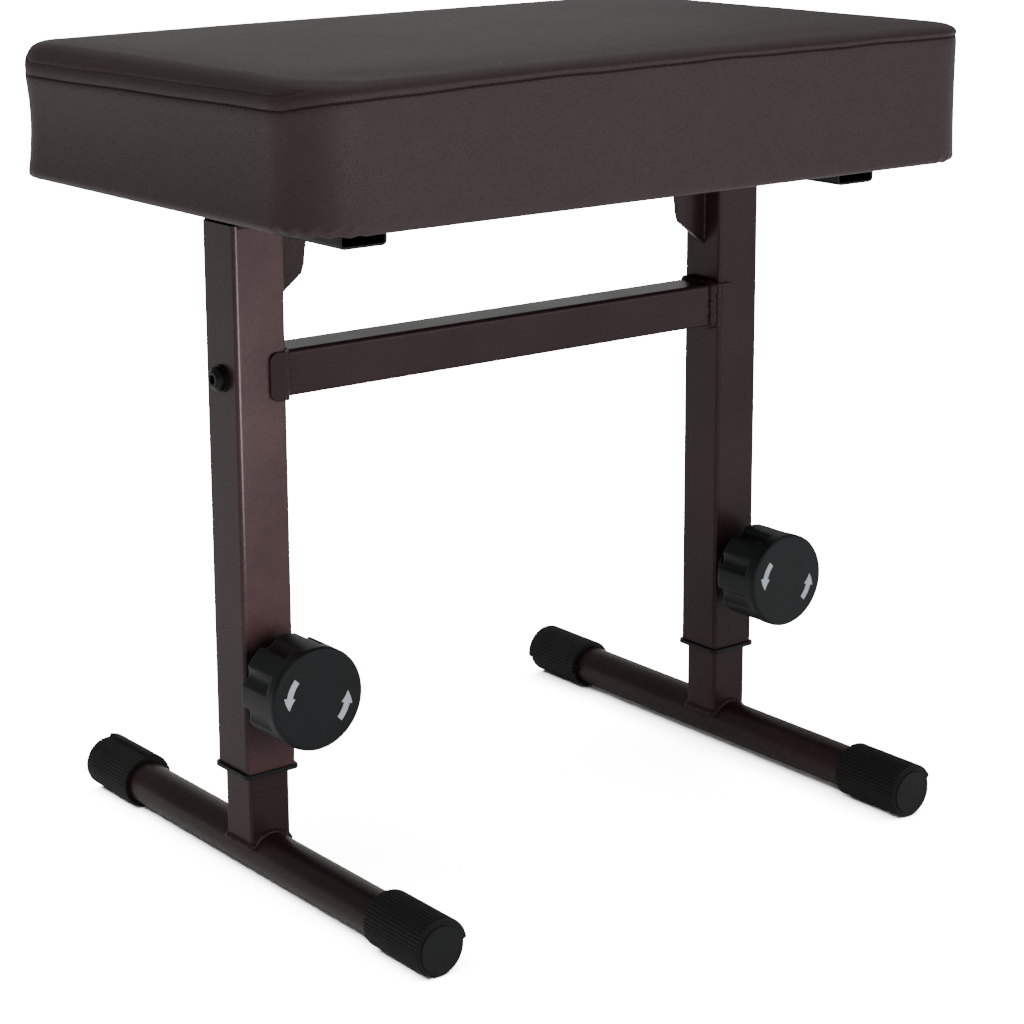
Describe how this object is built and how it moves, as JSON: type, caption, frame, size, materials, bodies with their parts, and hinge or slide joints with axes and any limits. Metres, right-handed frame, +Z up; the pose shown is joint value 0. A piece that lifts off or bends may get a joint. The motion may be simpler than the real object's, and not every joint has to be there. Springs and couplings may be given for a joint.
{
  "type": "piano bench",
  "caption": "Height-adjustable piano bench: padded rectangular seat on telescoping square legs with sprung pull-pin knobs and tube feet.",
  "frame": {"origin": "on the floor under the middle of the seat, at the lowest height setting", "axes": "+Z up, +X along the seat's length, -Y towards the side with the knobs"},
  "size_m": [0.48, 0.36, 0.484],
  "materials": {
    "leather": "dark brown synthetic leather, fine grain, low sheen",
    "foam": "open-cell seat foam",
    "plywood": "raw plywood",
    "dust_cloth": "black non-woven cloth",
    "brown_paint": "dark brown metallic powder coat, semi-gloss",
    "black_paint": "black powder coat, satin",
    "black_steel": "black oxide steel",
    "zinc_steel": "zinc-plated steel",
    "cap_rubber": "black ribbed rubber",
    "knob_plastic": "black satin moulded plastic",
    "glide_plastic": "black moulded plastic"
  },
  "bodies": {
    "left_lower_leg": {"left_inner_tube": "brown_paint", "left_top_glide": "glide_plastic", "left_foot_tube": "brown_paint"},
    "upper_frame": {"seat_cover": "leather", "seat_foam": "foam", "seat_board": "plywood", "dust_cover": "dust_cloth", "cover_staples": "zinc_steel", "tee_nuts": "zinc_steel", "seat_bolts": "black_steel", "left_channel": "black_paint", "right_channel": "black_paint", "left_gusset": "brown_paint", "right_gusset": "brown_paint", "left_outer_tube": "brown_paint", "right_outer_tube": "brown_paint", "crossbar": "brown_paint", "left_saddle": "brown_paint", "right_saddle": "brown_paint", "crossbar_bolts": "black_steel", "crossbar_washers": "black_steel", "crossbar_nuts": "zinc_steel", "left_guide_sleeve": "glide_plastic", "right_guide_sleeve": "glide_plastic", "left_boss": "brown_paint", "right_boss": "brown_paint"},
    "right_lower_leg": {"right_inner_tube": "brown_paint", "right_top_glide": "glide_plastic", "right_foot_tube": "brown_paint"},
    "left_front_foot": {"left_front_cap": "cap_rubber"},
    "left_rear_foot": {"left_rear_cap": "cap_rubber"},
    "left_pin_screw": {"left_pin_housing": "zinc_steel", "left_spring_retainer": "zinc_steel", "left_pin_spring": "zinc_steel"},
    "left_pull_knob": {"left_knob": "knob_plastic", "left_lock_pin": "zinc_steel"},
    "right_front_foot": {"right_front_cap": "cap_rubber"},
    "right_rear_foot": {"right_rear_cap": "cap_rubber"},
    "right_pin_screw": {"right_pin_housing": "zinc_steel", "right_spring_retainer": "zinc_steel", "right_pin_spring": "zinc_steel"},
    "right_pull_knob": {"right_knob": "knob_plastic", "right_lock_pin": "zinc_steel"}
  },
  "joints": [
    {"name": "height_slide", "type": "slide", "parent": "left_lower_leg", "child": "upper_frame", "axis": [0, 0, 1], "range_m": [0, 0.08]},
    {"name": "right_leg_slide", "type": "slide", "parent": "upper_frame", "child": "right_lower_leg", "axis": [0, 0, -1], "range_m": [0, 0.08]},
    {"name": "left_front_cap_turn", "type": "hinge", "parent": "left_lower_leg", "child": "left_front_foot", "pos_m": [-0.18, -0.1545, 0.016], "axis": [0, -1, 0], "continuous": true},
    {"name": "left_rear_cap_turn", "type": "hinge", "parent": "left_lower_leg", "child": "left_rear_foot", "pos_m": [-0.18, 0.1545, 0.016], "axis": [0, -1, 0], "continuous": true},
    {"name": "left_knob_turn", "type": "hinge", "parent": "upper_frame", "child": "left_pin_screw", "pos_m": [-0.18, -0.029, 0.125], "axis": [0, -1, 0], "range_deg": [0, 360]},
    {"name": "left_knob_pull", "type": "slide", "parent": "left_pin_screw", "child": "left_pull_knob", "axis": [0, -1, 0], "range_m": [0, 0.01], "stiffness_N_per_m": 600, "springref_m": -0.012, "deforming": ["left_pin_spring"]},
    {"name": "right_front_cap_turn", "type": "hinge", "parent": "right_lower_leg", "child": "right_front_foot", "pos_m": [0.18, -0.1545, 0.016], "axis": [0, -1, 0], "continuous": true},
    {"name": "right_rear_cap_turn", "type": "hinge", "parent": "right_lower_leg", "child": "right_rear_foot", "pos_m": [0.18, 0.1545, 0.016], "axis": [0, -1, 0], "continuous": true},
    {"name": "right_knob_turn", "type": "hinge", "parent": "upper_frame", "child": "right_pin_screw", "pos_m": [0.18, -0.029, 0.125], "axis": [0, -1, 0], "range_deg": [0, 360]},
    {"name": "right_knob_pull", "type": "slide", "parent": "right_pin_screw", "child": "right_pull_knob", "axis": [0, -1, 0], "range_m": [0, 0.01], "stiffness_N_per_m": 600, "springref_m": -0.012, "deforming": ["right_pin_spring"]}
  ],
  "couplings": [
    {"joint": "right_leg_slide", "follows": "height_slide", "ratio": 1}
  ]
}
